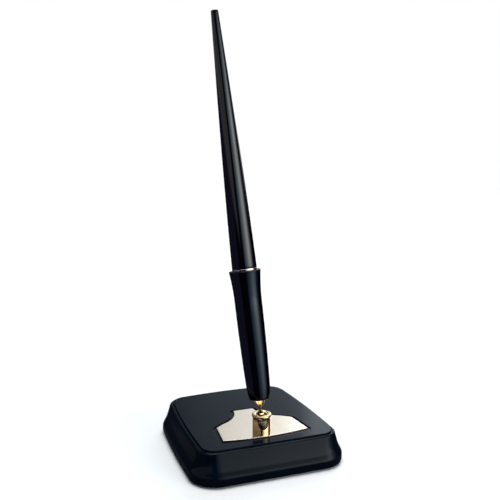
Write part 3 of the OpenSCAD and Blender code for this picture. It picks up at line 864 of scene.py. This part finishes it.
# Glossy rays more than 7.5 to 9 cm from the centre pass through the floor to the studio world. Nearer
# glossy rays see the dark painted-shade floor.
clear = ft.nodes.new("ShaderNodeBsdfTransparent")
pick = ft.nodes.new("ShaderNodeMixShader")
fo = ft.nodes["Material Output"]
fc = ft.nodes.new("ShaderNodeTexCoord")
fl = ft.nodes.new("ShaderNodeVectorMath")
fl.operation = "LENGTH"
ft.links.new(fc.outputs["Object"], fl.inputs[0])
far = ft.nodes.new("ShaderNodeMapRange")
far.interpolation_type = "SMOOTHSTEP"
far.inputs["From Min"].default_value, far.inputs["From Max"].default_value = 0.075, 0.09
ft.links.new(fl.outputs["Value"], far.inputs["Value"])
both = ft.nodes.new("ShaderNodeMath")
both.operation = "MULTIPLY"
ft.links.new(far.outputs["Result"], both.inputs[0])
ft.links.new(lp.outputs["Is Glossy Ray"], both.inputs[1])
ft.links.new(both.outputs[0], pick.inputs["Fac"])
ft.links.new(fb.outputs[0], pick.inputs[1])
ft.links.new(clear.outputs[0], pick.inputs[2])
ft.links.new(pick.outputs[0], fo.inputs["Surface"])
me.materials.append(fm)

# ------------------------------------------------------------------ camera
AZ, EL = math.radians(20.4635), math.radians(8.979)
R_ = Vector((math.cos(AZ), -math.sin(AZ), 0))
U_ = Vector((math.sin(AZ) * math.sin(EL), math.cos(AZ) * math.sin(EL), math.cos(EL)))
F_ = Vector((math.sin(AZ) * math.cos(EL), math.cos(AZ) * math.cos(EL), -math.sin(EL)))
cam_data = bpy.data.cameras.new("camera")
cam_data.lens, cam_data.sensor_width = 50.4, 36
cam_data.clip_start, cam_data.clip_end = 0.01, 20
cam = bpy.data.objects.new("camera", cam_data)
scene.collection.objects.link(cam)
m = Matrix((R_, U_, -F_)).transposed().to_4x4()
m.translation = Vector((-0.12604, -0.34395, 0.16654))
cam.matrix_world = m
scene.camera = cam

# ------------------------------------------------------------------ soft studio light
world = bpy.data.worlds.new("studio")
scene.world = world
world.use_nodes = True
wt = world.node_tree
for n_ in list(wt.nodes):
    wt.nodes.remove(n_)
tc = wt.nodes.new("ShaderNodeTexCoord")
FH = Vector((math.sin(AZ), math.cos(AZ), 0))


def wdot(v):
    n_ = wt.nodes.new("ShaderNodeVectorMath")
    n_.operation = "DOT_PRODUCT"
    n_.inputs[1].default_value = v
    wt.links.new(tc.outputs["Generated"], n_.inputs[0])
    return n_.outputs["Value"]


def wmath(op, a, b=None):
    n_ = wt.nodes.new("ShaderNodeMath")
    n_.operation = op
    for i, v in enumerate((a, b)):
        if v is None:
            continue
        if isinstance(v, (int, float)):
            n_.inputs[i].default_value = v
        else:
            wt.links.new(v, n_.inputs[i])
    return n_.outputs[0]


phi = wmath("ARCTAN2", wdot(R_), wdot(-FH))            # 0 over the camera, +90 to its right
phi01 = wmath("ADD", wmath("MULTIPLY", phi, 1 / (2 * math.pi)), 0.5)
ele = wmath("ARCSINE", wmath("MINIMUM", wmath("MAXIMUM", wdot((0, 0, 1)), -1.0), 1.0))
ele01 = wmath("ADD", wmath("MULTIPLY", ele, 1 / math.pi), 0.5)


def ramp(fac, stops, lo, hi):
    n_ = wt.nodes.new("ShaderNodeValToRGB")
    n_.color_ramp.interpolation = "LINEAR"
    els = n_.color_ramp.elements
    while len(els) > 1:
        els.remove(els[-1])
    first = True
    for pos, c in stops:
        c = (c, c, c) if isinstance(c, (int, float)) else c
        x = (pos - lo) / (hi - lo)
        if first:
            els[0].position, els[0].color = x, (*c, 1)
            first = False
        else:
            els.new(x).color = (*c, 1)
    wt.links.new(fac, n_.inputs["Fac"])
    return n_.outputs["Color"]


def vmul(a, b):
    n_ = wt.nodes.new("ShaderNodeVectorMath")
    n_.operation = "MULTIPLY"
    for i, v in enumerate((a, b)):
        if isinstance(v, (int, float)):
            n_.inputs[i].default_value = (v, v, v)
        else:
            wt.links.new(v, n_.inputs[i])
    return n_.outputs[0]


def vadd(a, b):
    n_ = wt.nodes.new("ShaderNodeVectorMath")
    n_.operation = "ADD"
    wt.links.new(a, n_.inputs[0])
    wt.links.new(b, n_.inputs[1])
    return n_.outputs[0]


def band(az, el, gain):
    return vmul(vmul(ramp(phi01, az, -180, 180), ramp(ele01, el, -90, 90)), gain)


sky = band([(9, 0), (14, (0.09, 0.13, 0.16)), (24, (0.19, 0.25, 0.29)), (39, (0.45, 0.50, 0.53)),
            (52, (0.84, 0.88, 0.90)), (62, (1.0, 1.0, 1.0)), (70, 0.88), (84, (0.27, 0.29, 0.31)),
            (92, 0.12), (104, 0)],
           [(-90, 0.05), (-30, 0.12), (-9, (0.22, 0.30, 0.36)), (0, (0.36, 0.44, 0.50)),
            (4, (0.75, 0.84, 0.90)), (6.5, 1), (20, 1), (27, 0.5), (33, 0.06), (52, 0.06), (58, 0)],
           4.8)
# behind the object, brighter towards the right
def cool(v):
    return (0.90 * v, v, 1.07 * v)


sky = vadd(sky, band([(p_, cool(v_)) for p_, v_ in (
    (-180, 0.84), (-176, 0.66), (-174, 0.42), (-172, 0.3), (-165, 0.2), (-140, 0.1), (-120, 0),
    (120, 0), (140, 0.7), (160, 2.4), (174.3, 3.4), (175.1, 1.9), (176, 1.02), (178, 0.94),
    (180, 0.84))], [(1, 0), (5, 1), (40, 1), (60, 0.7)], 1.0))
# overhead
sky = vadd(sky, band([(-180, (0.95, 0.98, 1.0)), (180, (0.95, 0.98, 1.0))],
                     [(57, 0), (71, 1)], 4.2))
# dim violet on the left
sky = vadd(sky, band([(-158, 0), (-150, (0.035, 0.033, 0.045)), (-120, (0.035, 0.033, 0.045)),
                      (-100, (0.06, 0.06, 0.13)), (-50, (0.085, 0.085, 0.21)), (-40, 0)],
                     [(-90, 1), (4, 1), (12, 0)], 1.0))
# low card on the left, for the gold
sky = vadd(sky, band([(-134, 0), (-126, (1, 1, 1)), (-14, (1, 1, 1)), (-8, 0)],
                     [(4, 0), (7, 1), (20, 1), (25, 0)], 0.5))
bg_light = wt.nodes.new("ShaderNodeBackground")
wt.links.new(sky, bg_light.inputs["Color"])
bg_cam = wt.nodes.new("ShaderNodeBackground")
bg_cam.inputs["Color"].default_value = (1, 1, 1, 1)
wlp = wt.nodes.new("ShaderNodeLightPath")
wm = wt.nodes.new("ShaderNodeMixShader")
wo = wt.nodes.new("ShaderNodeOutputWorld")
wt.links.new(wlp.outputs["Is Camera Ray"], wm.inputs["Fac"])
wt.links.new(bg_light.outputs[0], wm.inputs[1])
wt.links.new(bg_cam.outputs[0], wm.inputs[2])
wt.links.new(wm.outputs[0], wo.inputs["Surface"])
